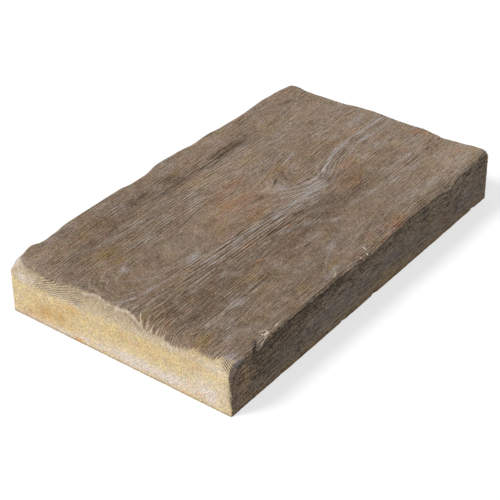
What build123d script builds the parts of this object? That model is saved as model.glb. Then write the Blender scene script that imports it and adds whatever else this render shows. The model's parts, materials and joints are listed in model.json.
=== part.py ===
from build123d import *

import math
import os

# A cast concrete paver with a timber-plank face, in millimetres. It lies on its plain face: X runs
# along the length, Y across the width and Z up, from the middle of the underside.

# Driving dimensions
LENGTH = 500.0
WIDTH = 300.0
THICKNESS = 65.5

# The cast board has a slight twist: this is how far its two high corners rise and its two low
# corners fall from the mean thickness.
TWIST = 4.0

# Low swells run along the board, as on a weathered plank: place across the width, and height.
SWELLS = [(-150, -0.4), (-118, 0.4), (-82, -0.6), (-24, -0.3), (20, 0.6), (66, 0.6), (101, -0.9), (150, -0.2)]

# Each top edge is rolled over, and the roll is uneven, so that the edges wave. Each list gives
# places along one edge, with how far the roll reaches inwards there, and how far down the wall.
LEFT_ROLL = [(-250, 10, 11), (-236, 8, 9), (-218, 3, 3), (-200, 9, 9), (-182, 7, 7), (-162, 4, 4), (-135, 4, 4),
             (-75, 5, 5), (-50, 9, 9), (-28, 9, 9), (-4, 4, 4), (30, 6, 6), (60, 11, 11), (84, 10, 10),
             (115, 14, 14), (145, 15, 16), (192, 13, 13), (215, 16, 14), (250, 20, 17)]
RIGHT_ROLL = [(-250, 7, 8), (-228, 5, 4.5), (-206, 9, 5.5), (-184, 5, 5), (-120, 5, 5), (-84, 6, 5), (-36, 6, 4),
              (-10, 16, 7.5), (24, 10, 5), (48, 8, 4), (66, 6, 3.5), (88, 7, 4), (112, 12, 5.5), (143, 14, 6),
              (164, 20, 9.5), (184, 8, 4), (215, 6, 4), (250, 9, 6.5)]
NEAR_ROLL = [(-150, 14, 14), (-138, 10, 12), (-108, 8, 9), (-66, 11, 12), (-30, 9, 9), (4, 12, 12),
             (40, 10, 11), (80, 9, 12), (110, 11, 14), (150, 14, 14)]
FAR_ROLL = [(-150, 4, 5), (-134, 7, 7), (-115, 11, 10), (-90, 12, 12), (-80, 9, 9), (-62, 5, 5), (-36, 7, 7),
            (0, 6, 6), (25, 7, 7), (60, 12, 12), (80, 11, 11), (110, 9, 9), (125, 6, 6), (150, 12, 10)]

# The upright corners are rounded, each by its own radius: its end and side, and the radius.
CORNER_ROUNDS = {(-1, -1): 3.0, (1, -1): 2.0, (1, 1): 12.0, (-1, 1): 1.5}

# How the top is sampled: steps inwards from each side, the first one outside it, and then the
# spacing of the sections between them.
EDGE_STEPS = [-2, 0, 2, 5, 9, 14]
SECTION_GAP = 24.0
POINT_GAP = 23.0
UNDERCUT = 5.0
HEADROOM = 20.0


def between(stations, place):
    """Values at a place, eased from one station of a list to the next."""
    for start, end in zip(stations, stations[1:]):
        if place <= end[0]:
            break
    share = min(max((place - start[0]) / (end[0] - start[0]), 0), 1)
    ease = 0.5 - 0.5 * math.cos(math.pi * share)
    return [low + (high - low) * ease for low, high in zip(start[1:], end[1:])]


def roll_drop(distance, inwards, down):
    """Fall of a rolled edge at a distance from its wall: a parabola that ends level with the top."""
    return down * max(1 - distance / inwards, 0) ** 2


def top_height(x, y):
    """Height of the timber face: mean thickness, twist and swells, less the rolls of the four edges."""
    twist = -TWIST * (2 * x / LENGTH) * (2 * y / WIDTH)
    left = roll_drop(WIDTH / 2 - y, *between(LEFT_ROLL, x))
    right = roll_drop(WIDTH / 2 + y, *between(RIGHT_ROLL, x))
    near = roll_drop(LENGTH / 2 + x, *between(NEAR_ROLL, y))
    far = roll_drop(LENGTH / 2 - x, *between(FAR_ROLL, y))
    return THICKNESS + twist + between(SWELLS, y)[0] - left - right - near - far


def places(size, gap):
    """Places from just outside one side to just outside the other, close together over each roll."""
    edge = [-size / 2 + step for step in EDGE_STEPS]
    inner = size / 2 - EDGE_STEPS[-1]
    count = math.ceil(2 * inner / gap)
    middle = [-inner + 2 * inner * i / count for i in range(1, count)]
    return edge + middle + [-place for place in reversed(edge)]


ALONG = places(LENGTH, SECTION_GAP)
ACROSS = places(WIDTH, POINT_GAP)

# One cast piece: sections across the board are lofted along it, and the mould's straight walls,
# rounded corners and flat bed then trim the loft to its true length and width.
with BuildPart() as paver:
    for x in ALONG:
        top_line = [(y, top_height(x, y)) for y in ACROSS]
        with BuildSketch(Plane.YZ.offset(x)):
            with BuildLine():
                Spline(*top_line)
                Polyline(top_line[-1], (ACROSS[-1], -UNDERCUT), (ACROSS[0], -UNDERCUT), top_line[0])
            make_face()
    loft()
    with BuildSketch(Plane.XY) as plan:
        Rectangle(LENGTH, WIDTH)
        for (end, side), radius in CORNER_ROUNDS.items():
            corner = plan.vertices().sort_by_distance((end * LENGTH / 2, side * WIDTH / 2))[0]
            fillet(corner, radius)
    extrude(amount=THICKNESS + HEADROOM, mode=Mode.INTERSECT)

paver.part.label = "paver"

os.makedirs("parts", exist_ok=True)
export_step(paver.part, "parts/paver.step")

box = paver.part.bounding_box()
print("solids", len(paver.part.solids()), "faces", len(paver.part.faces()), "size", box.size)
print("volume in litres", round(paver.part.volume / 1e6, 3))
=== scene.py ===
# %% [markdown]
# # A cast concrete paver with a timber face
#
# The real object is one piece of concrete, poured into a soft mould that was taken from a weathered
# plank. The face carries the plank's growth lines, knots and cracks, and it is brushed with brown
# and grey pigments. The ends show the pale, sandy body of the cast.
#
# The whole stone is one mesh here. Its surface is worked out as numpy arrays in millimetres, and
# only the last step turns them into Blender's metres.

# %% The fixed frame and the tools
import json
import math

import bpy
import numpy as np
from mathutils import Matrix, Vector

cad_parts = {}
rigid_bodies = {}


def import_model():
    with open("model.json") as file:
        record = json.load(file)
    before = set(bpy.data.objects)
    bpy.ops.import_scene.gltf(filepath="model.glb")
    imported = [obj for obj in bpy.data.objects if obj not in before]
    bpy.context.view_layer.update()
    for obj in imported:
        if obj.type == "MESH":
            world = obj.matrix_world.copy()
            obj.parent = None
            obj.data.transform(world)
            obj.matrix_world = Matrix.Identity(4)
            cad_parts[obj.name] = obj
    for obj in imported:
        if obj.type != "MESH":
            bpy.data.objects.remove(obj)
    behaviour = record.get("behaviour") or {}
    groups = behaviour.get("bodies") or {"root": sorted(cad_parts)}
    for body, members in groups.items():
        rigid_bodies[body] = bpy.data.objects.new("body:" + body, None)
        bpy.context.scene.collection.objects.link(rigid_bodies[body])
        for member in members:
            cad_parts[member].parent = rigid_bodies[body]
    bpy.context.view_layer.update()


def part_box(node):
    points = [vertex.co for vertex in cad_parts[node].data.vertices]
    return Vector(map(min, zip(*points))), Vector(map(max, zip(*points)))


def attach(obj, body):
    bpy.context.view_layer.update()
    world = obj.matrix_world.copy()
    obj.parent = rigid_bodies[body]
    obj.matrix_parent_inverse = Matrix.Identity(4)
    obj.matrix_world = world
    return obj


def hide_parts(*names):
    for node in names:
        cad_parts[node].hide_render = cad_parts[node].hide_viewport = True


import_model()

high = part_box("paver")[1]
MM = 0.001
HALF_LENGTH = round(high.x / MM, 2)
HALF_WIDTH = round(high.y / MM, 2)
TOP_LIMIT = high.z / MM - 0.05
print("frame, mm:", 2 * HALF_LENGTH, "x", 2 * HALF_WIDTH, "x", round(TOP_LIMIT, 1))

# %% [markdown]
# ## Camera
#
# A photograph fixes its camera once three edge directions of a box are known. The straight lower
# edges of the stone gave the turn, the tilt and the distance, so the camera is written down as those
# plain values. It could also be placed by eye, but then every later comparison would drift.

# %% Camera
TURN = math.radians(-52.75)
TILT = math.radians(35.26)
ROLL = math.radians(-0.38)
CAMERA_DISTANCE = 1.9234
AIM_RIGHT = -0.0122
AIM_UP = 0.0013
FOCAL_SHARE = 1675.0 / 500.0
SENSOR = 36.0


def camera_axes(turn, tilt, roll):
    """Right, up and backward directions: backward leans from the horizontal by the tilt, then roll."""
    back = Vector((math.sin(turn) * math.cos(tilt), -math.cos(turn) * math.cos(tilt), math.sin(tilt)))
    level = Vector((math.cos(turn), math.sin(turn), 0))
    up = back.cross(level)
    right = level * math.cos(roll) + up * math.sin(roll)
    return right, back.cross(right), back


right, up, back = camera_axes(TURN, TILT, ROLL)
camera_data = bpy.data.cameras.new("photo_camera")
camera_data.sensor_width = SENSOR
camera_data.lens = FOCAL_SHARE * SENSOR
camera = bpy.data.objects.new("photo_camera", camera_data)
bpy.context.scene.collection.objects.link(camera)
place = back * CAMERA_DISTANCE + right * AIM_RIGHT + up * AIM_UP
camera.matrix_world = Matrix.Translation(place) @ Matrix((right, up, back)).transposed().to_4x4()
bpy.context.scene.camera = camera
bpy.context.scene.view_settings.view_transform = "Standard"
print("camera lens, mm:", round(camera_data.lens, 1))

# %% [markdown]
# ## Wiring shader nodes
#
# Node trees grow long, so a small class gives each kind of node a short call. Every call returns the
# output socket with its result, and a value given as an input is either linked or typed in.

# %% Short calls for shader nodes


def colour(red, green, blue):
    """Linear RGBA of a colour written in the usual 0 to 255 screen values."""
    screen = np.array([red, green, blue]) / 255
    linear = np.where(screen <= 0.04045, screen / 12.92, ((screen + 0.055) / 1.055) ** 2.4)
    return (*linear.tolist(), 1.0)


class Graph:
    """Short calls for wiring nodes: each returns the output socket that carries the result."""

    def __init__(self, tree):
        self.tree = tree

    def feed(self, socket, value):
        if isinstance(value, bpy.types.NodeSocket):
            self.tree.links.new(value, socket)
        else:
            socket.default_value = value

    def add(self, kind, inputs, output=0, **settings):
        node = self.tree.nodes.new(kind)
        for name, value in settings.items():
            setattr(node, name, value)
        for key, value in inputs.items():
            self.feed(node.inputs[key], value)
        return node.outputs[output]

    def math(self, operation, first, second=0.0, third=0.0):
        return self.add("ShaderNodeMath", {0: first, 1: second, 2: third}, operation=operation)

    def times(self, first, second):
        return self.math("MULTIPLY", first, second)

    def times_add(self, first, second, third):
        return self.math("MULTIPLY_ADD", first, second, third)

    def capped(self, value, limit):
        return self.math("MINIMUM", value, limit)

    def scaled(self, vector, factors):
        return self.add("ShaderNodeVectorMath", {0: vector, 1: factors}, operation="MULTIPLY")

    def joined(self, x, y, z):
        return self.add("ShaderNodeCombineXYZ", {0: x, 1: y, 2: z})

    def noise(self, vector, scale, detail=3.0, roughness=0.55):
        inputs = {"Vector": vector, "Scale": scale, "Detail": detail, "Roughness": roughness}
        return self.add("ShaderNodeTexNoise", inputs)

    def rise(self, value, start, end):
        """0 below start, 1 above end, and a smooth step between."""
        inputs = {"Value": value, "From Min": start, "From Max": end}
        return self.add("ShaderNodeMapRange", inputs, interpolation_type="SMOOTHSTEP")

    def mix(self, share, first, second, blend="MIX"):
        """Colour mix: inputs 6 and 7 are the colours of the Mix node, and output 2 is its colour."""
        inputs = {0: share, 6: first, 7: second}
        return self.add("ShaderNodeMix", inputs, 2, data_type="RGBA", blend_type=blend)

    def dimmed(self, shade, factor):
        """A colour times one number."""
        return self.mix(1.0, shade, self.joined(factor, factor, factor), "MULTIPLY")

    def attribute(self, name):
        return self.add("ShaderNodeAttribute", {}, "Fac", attribute_name=name)


def new_group(name, inputs, outputs):
    """An empty shader group with named sockets, given as (name, kind, start value) and (name, kind)."""
    tree = bpy.data.node_groups.new(name, "ShaderNodeTree")
    for socket, kind, start in inputs:
        tree.interface.new_socket(socket, in_out="INPUT", socket_type=kind).default_value = start
    for socket, kind in outputs:
        tree.interface.new_socket(socket, in_out="OUTPUT", socket_type=kind)
    given = tree.nodes.new("NodeGroupInput").outputs
    wanted = tree.nodes.new("NodeGroupOutput").inputs
    return tree, Graph(tree), given, wanted


def use_group(graph, tree, inputs):
    """Places a group in a material with its own values, and returns its outputs by name."""
    node = graph.tree.nodes.new("ShaderNodeGroup")
    node.node_tree = tree
    for key, value in inputs.items():
        graph.feed(node.inputs[key], value)
    return node.outputs


def new_material(name):
    """A material with an empty tree but for its output, and the graph to wire it with."""
    material = bpy.data.materials.new(name)
    material.use_nodes = True
    material.node_tree.nodes.clear()
    return material, Graph(material.node_tree), material.node_tree.nodes.new("ShaderNodeOutputMaterial")


print("middle grey as a linear colour:", round(colour(128, 128, 128)[0], 3))

# %% [markdown]
# ## Light and floor
#
# The light falls from the left of the picture and a little from behind, low enough to rake across
# the growth lines. That leaves the long wall in shade. The world fills the shadows. The floor shows
# white to the camera and still takes a soft shadow, because part of its white is a plain glow that
# only the camera sees.

# %% Lamps, world and floor
KEY_FROM = (-0.62, 0.42, 0.85)
KEY_STRENGTH = 2.3
KEY_SOFTNESS = math.radians(16)
FILL_FROM = (-0.85, -0.30, 0.30)
FILL_STRENGTH = 0.6
FILL_SOFTNESS = math.radians(60)
SKY_STRENGTH = 0.42
FLOOR_SIZE = 6.0
FLOOR_GLOW = 0.62


def sun(name, direction, strength, softness, tint):
    """A distant lamp that shines from the given direction."""
    data = bpy.data.lights.new(name, "SUN")
    data.energy = strength
    data.angle = softness
    data.color = tint
    lamp = bpy.data.objects.new(name, data)
    lamp.rotation_euler = Vector(direction).to_track_quat("Z", "Y").to_euler()
    bpy.context.scene.collection.objects.link(lamp)


def seen_directly(graph):
    """1 for rays from the camera, in mirrors and through glass, and 0 for light on its way."""
    path = graph.tree.nodes.new("ShaderNodeLightPath").outputs
    mirrored = graph.math("MAXIMUM", path["Is Camera Ray"], path["Is Glossy Ray"])
    return graph.math("MAXIMUM", mirrored, path["Is Transmission Ray"])


def light_world():
    """White where it is seen, and a dimmer, slightly cool fill where it lights the stone."""
    world = bpy.data.worlds.new("studio")
    bpy.context.scene.world = world
    world.use_nodes = True
    world.node_tree.nodes.clear()
    graph = Graph(world.node_tree)
    tint = graph.mix(seen_directly(graph), (0.94, 0.97, 1.0, 1), (1, 1, 1, 1))
    strength = graph.times_add(seen_directly(graph), 1 - SKY_STRENGTH, SKY_STRENGTH)
    shade = graph.add("ShaderNodeBackground", {"Color": tint, "Strength": strength})
    graph.feed(world.node_tree.nodes.new("ShaderNodeOutputWorld").inputs[0], shade)


def lay_floor():
    """One large square at the height of the bed, with a pale matt finish and the camera's glow."""
    corners = FLOOR_SIZE / 2 * np.array([(-1, -1, 0), (1, -1, 0), (1, 1, 0), (-1, 1, 0)])
    mesh = bpy.data.meshes.new("studio_floor")
    mesh.from_pydata(corners.tolist(), [], [(0, 1, 2, 3)])
    floor = bpy.data.objects.new("studio_floor", mesh)
    bpy.context.scene.collection.objects.link(floor)
    material, graph, output = new_material("pale_floor")
    seen = seen_directly(graph)
    matt = graph.mix(seen, (0.62, 0.62, 0.62, 1), (0.42, 0.42, 0.42, 1))
    glow = graph.times(seen, FLOOR_GLOW)
    inputs = {"Base Color": matt, "Roughness": 1.0, "Specular IOR Level": 0.0,
              "Emission Color": (1, 1, 1, 1), "Emission Strength": glow}
    graph.feed(output.inputs[0], graph.add("ShaderNodeBsdfPrincipled", inputs))
    mesh.materials.append(material)


sun("key", KEY_FROM, KEY_STRENGTH, KEY_SOFTNESS, (1.0, 0.985, 0.96))
sun("fill", FILL_FROM, FILL_STRENGTH, FILL_SOFTNESS, (0.97, 0.98, 1.0))
light_world()
lay_floor()
print("lamps:", [light.name for light in bpy.data.lights])

# %% [markdown]
# ## Curves, bells and noise
#
# Everything on the stone is a height or a mask over its surface, so a few building blocks do most of
# the work. One eases between listed stations, one draws a smooth line through points, one is a
# bell-shaped spot, and one is smooth noise. Blender's own noise textures can't move vertices before
# the mesh exists, so the noise for shapes is written out here.

# %% Building blocks
RANDOM = np.random.default_rng(11).uniform(-1, 1, (64, 64, 64))


def eased(stations, place):
    """Value at each place, eased from one (place, value) station to the next by half a cosine wave."""
    at, value = np.array(stations, float).T
    place = np.clip(place, at[0], at[-1])
    run = np.clip(np.searchsorted(at, place) - 1, 0, len(at) - 2)
    share = (place - at[run]) / (at[run + 1] - at[run])
    return value[run] + (value[run + 1] - value[run]) * (0.5 - 0.5 * np.cos(np.pi * share))


def traced(points, place, blur=6):
    """Smooth line through points: straight runs between them, averaged over a short stretch."""
    at, value = np.array(points, float).T
    return sum(np.interp(place + shift * blur, at, value) for shift in (-1, -0.5, 0, 0.5, 1)) / 5


def bell(distance, reach):
    """A spot: 1 in the middle, falling as exp(-(distance / reach)^2)."""
    return np.exp(-(distance / reach) ** 2)


def rise(start, end, value):
    """0 below start, 1 above end, and a smooth step between."""
    share = np.clip((value - start) / (end - start), 0, 1)
    return share * share * (3 - 2 * share)


def noise(x, y, z=0.0):
    """Smooth noise from -1 to 1: random values at the corners of unit cells, blended by smooth steps."""
    axes = np.broadcast_arrays(x, y, z)
    cell = [np.floor(axis).astype(int) for axis in axes]
    part = [rise(0, 1, axis - whole) for axis, whole in zip(axes, cell)]
    total = 0
    for dx, dy, dz in np.ndindex(2, 2, 2):
        value = RANDOM[(cell[0] + dx) % 64, (cell[1] + dy) % 64, (cell[2] + dz) % 64]
        weights = [share if step else 1 - share for share, step in zip(part, (dx, dy, dz))]
        total = total + value * weights[0] * weights[1] * weights[2]
    return total


def fractal(x, y, z=0.0, octaves=3):
    """Noise on noise: each octave is twice as fine and half as strong as the one before."""
    return sum(noise(x * 2 ** k + 7 * k, y * 2 ** k, z * 2 ** k) / 2 ** k for k in range(octaves))


print("fractal noise at 0, 1 and 2:", np.round(fractal(np.arange(3.0), 0.5), 2))

# %% [markdown]
# ## The cast form
#
# The stone is a block whose top is slightly twisted, swells a little along the board, and rolls over
# at its four edges. A roll is a parabola that ends level with the top, and its reach changes along
# each edge, which makes the edges wave. Sculpting could do the same, but stations in a list say where
# each wave is, and they keep the visible stone on the fixed model.

# %% Top of the block, mm
THICKNESS = 65.5
TWIST = 4.0
SWELLS = [
    (-150, -0.4), (-118, 0.4), (-82, -0.6), (-24, -0.3), (20, 0.6), (66, 0.6), (101, -0.9), (150, -0.2)]
LEFT_ROLL = [
    (-250, 10, 11), (-236, 8, 9), (-218, 3, 3), (-200, 9, 9), (-182, 7, 7), (-162, 4, 4), (-135, 4, 4),
    (-75, 5, 5), (-50, 9, 9), (-28, 9, 9), (-4, 4, 4), (30, 6, 6), (60, 11, 11), (84, 10, 10),
    (115, 14, 14), (145, 15, 16), (192, 13, 13), (215, 16, 14), (250, 20, 17)]
RIGHT_ROLL = [
    (-250, 7, 8), (-228, 5, 4.5), (-206, 9, 5.5), (-184, 5, 5), (-120, 5, 5), (-84, 6, 5), (-36, 6, 4),
    (-10, 16, 7.5), (24, 10, 5), (48, 8, 4), (66, 6, 3.5), (88, 7, 4), (112, 12, 5.5), (143, 14, 6),
    (164, 20, 9.5), (184, 8, 4), (215, 6, 4), (250, 9, 6.5)]
NEAR_ROLL = [
    (-150, 14, 14), (-138, 10, 12), (-108, 8, 9), (-66, 11, 12), (-30, 9, 9), (4, 12, 12), (40, 10, 11),
    (80, 9, 12), (110, 11, 14), (150, 12, 6)]
FAR_ROLL = [
    (-150, 4, 5), (-134, 7, 7), (-115, 11, 10), (-90, 12, 12), (-80, 9, 9), (-62, 5, 5), (-36, 7, 7),
    (0, 6, 6), (25, 7, 7), (60, 12, 12), (80, 11, 11), (110, 9, 9), (125, 6, 6), (150, 12, 10)]


def roll_fall(distance, edge, place):
    """Fall of a rolled edge: down * (1 - distance / inwards)^2, and nothing past its inward reach."""
    at, inward, down = np.array(edge, float).T
    inwards = eased(np.stack([at, inward], 1), place)
    return eased(np.stack([at, down], 1), place) * np.clip(1 - distance / inwards, 0, None) ** 2


def top_height(x, y):
    """Height of the smooth top: thickness, twist and swells, less the falls of the four rolled edges."""
    twist = -TWIST * (x / HALF_LENGTH) * (y / HALF_WIDTH)
    sides = roll_fall(HALF_WIDTH - y, LEFT_ROLL, x) + roll_fall(HALF_WIDTH + y, RIGHT_ROLL, x)
    ends = roll_fall(HALF_LENGTH + x, NEAR_ROLL, y) + roll_fall(HALF_LENGTH - x, FAR_ROLL, y)
    return THICKNESS + twist + eased(SWELLS, y) - sides - ends


print("top at the four corners, mm:", np.round(top_height(np.array([-250, -250, 250, 250]),
                                                       np.array([-150, 150, -150, 150])), 1))

# %% [markdown]
# ## One closed surface
#
# A height over a rectangle can't make upright walls, so the mesh has two grids. The first is the top,
# over x and y. The second is a band that runs once round the rim and down to the bed, so its two
# parameters are the way round and the way down. Both share the rim, and one flat face closes the bed.
# The rows are closest together where the edges roll.

# %% Grid of the surface, mm
EDGE_BAND = 14.0
ALONG_STEPS = (1.0, 2.7)
ACROSS_STEPS = (0.8, 0.95)
WALL_ROWS = 22
RIM_BUNCHING = 1.4


def spaced(half, edge_step, middle_step):
    """Places from -half to half: close together in the edge bands and wider between them."""
    inner = half - EDGE_BAND
    edge = np.linspace(-half, -inner, round(EDGE_BAND / edge_step), endpoint=False)
    middle = np.linspace(-inner, inner, round(2 * inner / middle_step) + 1)
    return np.concatenate([edge, middle, -edge[::-1]])


def closed_surface():
    """Points of the top grid and the wall band, and the quads and the bed face that join them."""
    x = spaced(HALF_LENGTH, *ALONG_STEPS)
    y = spaced(HALF_WIDTH, *ACROSS_STEPS)
    grid_x, grid_y = np.meshgrid(x, y, indexing="ij")
    top = np.stack([grid_x, grid_y, top_height(grid_x, grid_y)], -1).reshape(-1, 3)
    index = np.arange(len(x) * len(y)).reshape(len(x), len(y))
    quads = [np.stack([index[:-1, :-1], index[1:, :-1], index[1:, 1:], index[:-1, 1:]], -1).reshape(-1, 4)]
    rim = np.concatenate([index[:-1, 0], index[-1, :-1], index[:0:-1, -1], index[0, :0:-1]])
    down = 1 - np.linspace(0, 1, WALL_ROWS + 1)[1:, None] ** RIM_BUNCHING
    wall = np.repeat(top[rim][None], WALL_ROWS, 0)
    wall[:, :, 2] *= down
    rings = np.vstack([rim, len(top) + np.arange(WALL_ROWS * len(rim)).reshape(WALL_ROWS, -1)])
    turned = np.roll(rings, -1, 1)
    quads.append(np.stack([rings[:-1], rings[1:], turned[1:], turned[:-1]], -1).reshape(-1, 4))
    return np.vstack([top, wall.reshape(-1, 3)]), np.vstack(quads), rings[-1][::-1]


def vertex_normals(points, quads):
    """Unit normals: the cross products of each quad's diagonals, added up at its corners."""
    facing = np.cross(points[quads[:, 2]] - points[quads[:, 0]], points[quads[:, 3]] - points[quads[:, 1]])
    total = np.zeros_like(points)
    for corner in range(4):
        np.add.at(total, quads[:, corner], facing)
    return total / np.linalg.norm(total, axis=1, keepdims=True)


points, quads, bed = closed_surface()
normals = vertex_normals(points, quads)
x, y, z = points.T
print("smooth stone:", len(points), "points,", 2 * len(quads) + len(bed) - 2, "triangles")

# %% [markdown]
# ## Growth lines
#
# On a sawn plank each growth line is one level of the distance to the tree's heart. Where the heart
# lies deep, the lines bunch into long arches, which carvers call cathedrals. The face has one large
# set of them, round a heart that wanders along the board, and beside it a shallow heart whose lines
# run nearly straight. Each is the root of (distance across)^2 + (depth of the heart)^2, and a few
# bells push the lines aside.
# Drawing every line by hand would take thousands of points, and plain stretched noise has no arches.

# %% Field of growth lines, mm
RING_WIDTH = 3.1
LEFT_SPREAD = 0.9
SIDE_SPREAD = 1.2
HEART = [(-250, 26), (-213, 27), (-150, 24), (-65, 20), (0, 13), (37, 8), (100, 10), (160, 13), (250, 13)]
HEART_DEPTH = [
    (-250, 38), (-213, 30), (-130, 22), (-65, 18), (0, 17), (37, 16), (60, 10), (90, 0), (250, 0)]
HEART_MEAN = 18
HEART_REACH = 60
BEND_BLUR = 12
SIDE_HEART = -88
SIDE_DEPTH = 5
MEETING = -48
MEETING_BLEND = 4
MEETING_LABEL = 112
PUSHES = [(82, -30, 45, 16, -14), (105, 42, 60, 18, 8)]


def growth_label(x, y):
    """Its level lines are the growth lines: hypot(across, depth) round each heart, blended, mm."""
    moved = y.copy()
    for at_x, at_y, along, across, push in PUSHES:
        moved = moved - push * bell(x - at_x, along) * bell(y - at_y, across)
    heart = traced(HEART, x, BEND_BLUR)
    near = bell(moved - heart, HEART_REACH)
    centred = moved - HEART_MEAN - (heart - HEART_MEAN) * near
    centred = np.where(centred > 0, LEFT_SPREAD * centred, centred)
    main = np.hypot(centred, traced(HEART_DEPTH, x, BEND_BLUR) * near)
    beside = moved - SIDE_HEART
    side = np.hypot(beside, SIDE_DEPTH)
    share = 1 / (1 + np.exp(-(moved - MEETING) / MEETING_BLEND))
    return share * main + (1 - share) * (MEETING_LABEL - SIDE_SPREAD * side)


LEAN = [(-150, 0), (-100, -1), (-60, -3), (-30, -5), (-5, -3), (25, 0), (150, 0)]
LEAN_REACH = 20
UNEVEN_RINGS = 0.45

inward = HALF_LENGTH + x
below = top_height(x, y) - z
label = growth_label(x, y) + below
label = label + eased(LEAN, y) * np.clip(1 - inward / LEAN_REACH, 0, 1) ** 1.5
label = label + UNEVEN_RINGS * RING_WIDTH * (fractal(x / 100, y / 13, 3.0) + noise(label / 11, 0.5))
ring = label / RING_WIDTH
print("growth lines across the face:", round(float(ring.max() - ring.min())))

# %% [markdown]
# ## Where each finish lies
#
# The colours on the stone follow its making. The brown pigment was brushed over the face and the long
# walls, and stops along a wandering line at each end. Grey pigment stayed on the high lines, rust and
# ochre pigments were dabbed on in patches. Each of these is a mask over the points, built from bells
# at listed spots, and the mesh carries it to the material as an attribute. A pure noise would be
# shorter, but it could not put the red patch round the knot.

# %% Spots of pigment and of painted shade: x, y, reach along x, reach along y, strength
PALE_SPOTS = [
    (-244, 145, 8, 10, 0.55), (-66, -141, 10, 2.5, 0.8), (-48, -137, 10, 2.5, 0.8), (-190, 39, 6, 4, 0.7),
    (-125, -4, 10, 6, 0.8), (-197, -4, 8, 3, 0.5), (-170, -41, 7, 3, 0.7), (-130, -47, 6, 3, 0.8),
    (-205, -87, 9, 5, 0.6), (-170, -87, 5, 2.5, 0.8), (-156, -91, 14, 6, 0.6), (-195, -102, 10, 6, 0.7),
    (-212, -119, 14, 4, 0.6), (-190, -128, 14, 4, 0.6), (-232, -136, 7, 4, 1.4), (-234, -148, 8, 3, 1.0),
    (-80, -86, 8, 8, 0.5), (-70, -107, 14, 6, 0.45), (-25, -84, 18, 3, 0.5), (-20, -109, 22, 5, 0.6),
    (4, -104, 10, 4, 0.7), (3, -66, 8, 5, 0.8), (25, -87, 8, 3, 0.7), (-10, -88, 8, 3, 0.5),
    (38, -46, 14, 3, 0.7), (38, 3, 8, 4, 0.6), (28, -10, 8, 5, 0.4), (50, -29, 24, 6, 0.4),
    (66, -35, 10, 3, 0.6), (70, -84, 14, 3, 0.5), (95, -87, 12, 3, 0.6), (128, -91, 8, 5, 0.9),
    (150, -78, 14, 4, 0.5), (164, -97, 10, 4, 0.5), (155, -132, 16, 4, 0.6), (105, -137, 14, 2, 0.5),
    (110, -124, 30, 8, 0.3), (150, -6, 16, 3, 0.7), (190, -16, 10, 3, 0.5), (218, 17, 12, 6, 0.8),
    (206, 18, 5, 5, 0.5), (165, 15, 6, 4, 0.5), (158, 31, 5, 2, 0.5), (95, 42, 10, 3, 0.45),
    (-55, 57, 14, 5, 0.5), (-35, 72, 10, 8, 0.5), (-90, 66, 10, 6, 0.35), (-130, 56, 16, 5, 0.35),
    (-112, 84, 16, 5, 0.5), (-150, 86, 14, 4, 0.5), (-70, 90, 12, 3, 0.4), (-100, 122, 12, 10, 0.4),
    (120, 65, 24, 6, 0.35), (133, 74, 8, 4, 0.4), (150, 110, 10, 6, 0.35), (0, 133, 24, 5, 0.3),
    (-195, 137, 20, 4, 0.3)]
RUST_SPOTS = [
    (50, -147, 28, 2.5, 0.8), (-25, 10, 36, 20, 0.35), (10, 14, 24, 14, 0.3), (-40, 22, 18, 12, 0.3),
    (-25, 30, 22, 8, 0.35), (-20, 45, 30, 6, 0.4), (5, 48, 12, 4, 0.5), (20, 50, 10, 5, 0.7),
    (3, 57, 8, 3, 0.5), (-16, -51, 4, 2.5, 1.3), (-22, -10, 12, 4, 0.7), (-68, -36, 10, 4, 0.7),
    (-90, -63, 10, 3, 0.7), (5, -61, 10, 3, 0.6), (100, -60, 20, 6, 0.8), (112, -52, 22, 5, 0.35),
    (118, -29, 6, 3, 0.8), (135, -29, 14, 3, 0.5), (190, -68, 8, 3, 0.6), (234, -57, 7, 6, 1.2),
    (240, -68, 5, 4, 0.8), (224, -122, 7, 4, 0.8), (60, -141, 16, 6, 0.9), (18, -134, 8, 4, 0.6),
    (-17, -142, 8, 3, 0.6), (195, 7, 9, 4, 0.6), (120, 18, 6, 3, 0.6), (160, 5, 20, 3, 0.5),
    (-148, 23, 8, 5, 0.4), (-175, 18, 6, 6, 0.4), (-225, 138, 14, 7, 0.4), (135, 134, 14, 4, 0.6),
    (215, 134, 10, 3, 0.5), (95, 120, 12, 5, 0.4), (65, 125, 12, 4, 0.3), (-95, 139, 5, 2, 0.5),
    (-235, -55, 8, 4, 0.6)]
OCHRE_SPOTS = [
    (-202, 83, 7, 6, 1.0), (-178, 72, 14, 8, 0.9), (-164, 74, 6, 4, 0.6), (-180, 54, 8, 5, 1.0),
    (-165, 116, 10, 7, 0.6), (-155, 126, 8, 5, 0.5), (-195, -52, 18, 8, 0.8), (-185, -70, 24, 6, 0.3),
    (-230, -101, 14, 6, 0.9), (-118, -76, 6, 8, 0.9), (-120, -98, 26, 8, 0.5), (-100, -132, 10, 6, 0.7),
    (-155, -130, 12, 5, 0.5), (-60, -142, 4, 2, 1.2), (-50, -133, 12, 6, 0.6), (-10, 117, 10, 3, 0.8),
    (-38, 135, 12, 4, 0.5), (150, 102, 14, 6, 0.5), (135, 90, 12, 10, 0.5), (115, -75, 16, 5, 0.5),
    (110, -54, 26, 7, 0.6), (135, -35, 14, 6, 0.6), (190, -54, 14, 4, 0.6), (150, -60, 14, 5, 0.4),
    (110, -140, 8, 5, 0.6), (60, 25, 16, 4, 0.4), (140, 22, 14, 8, 0.4), (235, 100, 6, 5, 0.4),
    (170, 85, 14, 4, 0.35), (225, 55, 8, 5, 0.4), (-160, -58, 6, 3, 0.6), (-10, 90, 20, 3, 0.3)]
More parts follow.
